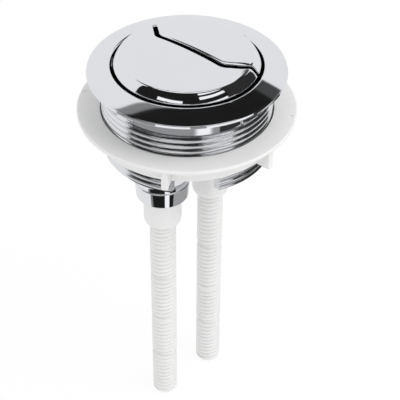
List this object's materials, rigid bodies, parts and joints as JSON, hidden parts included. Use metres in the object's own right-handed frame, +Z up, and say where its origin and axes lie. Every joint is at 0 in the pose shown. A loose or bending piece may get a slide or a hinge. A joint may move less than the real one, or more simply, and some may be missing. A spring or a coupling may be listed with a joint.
{
  "type": "push button cistern actuator",
  "caption": "Round chrome dual flush button for a cistern lid, with split sprung caps, a threaded barrel, a flanged lock nut and adjustable push rods.",
  "frame": {"origin": "on the barrel's axis, in the plane of the bezel's seat on the cistern lid", "axes": "+Z up along the barrel, +X from the full flush rod to the half flush rod"},
  "size_m": [0.078, 0.078, 0.1602],
  "materials": {
    "polished_chrome": "polished plating on plastic",
    "barrel_chrome": "bright plating on a moulded thread",
    "white_plastic": "moulded white plastic",
    "spring_steel": "drawn stainless wire"
  },
  "bodies": {
    "housing": {"bezel_ring": "polished_chrome", "threaded_barrel": "barrel_chrome", "full_flush_spring": "spring_steel", "half_flush_spring": "spring_steel"},
    "full_flush_assembly": {"full_flush_button": "polished_chrome", "full_flush_plunger": "white_plastic"},
    "half_flush_assembly": {"half_flush_button": "polished_chrome", "half_flush_plunger": "white_plastic"},
    "full_flush_rod_body": {"full_flush_rod": "white_plastic"},
    "half_flush_rod_body": {"half_flush_rod": "white_plastic"},
    "nut_body": {"lock_nut": "white_plastic"}
  },
  "joints": [
    {"name": "full_flush_press", "type": "slide", "parent": "housing", "child": "full_flush_assembly", "axis": [0, 0, -1], "range_m": [0, 0.008], "stiffness_N_per_m": 400, "springref_m": -0.01, "deforming": ["full_flush_spring"]},
    {"name": "half_flush_press", "type": "slide", "parent": "housing", "child": "half_flush_assembly", "axis": [0, 0, -1], "range_m": [0, 0.008], "stiffness_N_per_m": 400, "springref_m": -0.01, "deforming": ["half_flush_spring"]},
    {"name": "full_flush_rod_adjust", "type": "slide", "parent": "full_flush_assembly", "child": "full_flush_rod_body", "axis": [0, 0, -1], "range_m": [-0.015, 0.015]},
    {"name": "half_flush_rod_adjust", "type": "slide", "parent": "half_flush_assembly", "child": "half_flush_rod_body", "axis": [0, 0, -1], "range_m": [-0.015, 0.015]},
    {"name": "nut_travel", "type": "slide", "parent": "housing", "child": "nut_body", "axis": [0, 0, 1], "range_m": [-0.007, 0.01]}
  ]
}
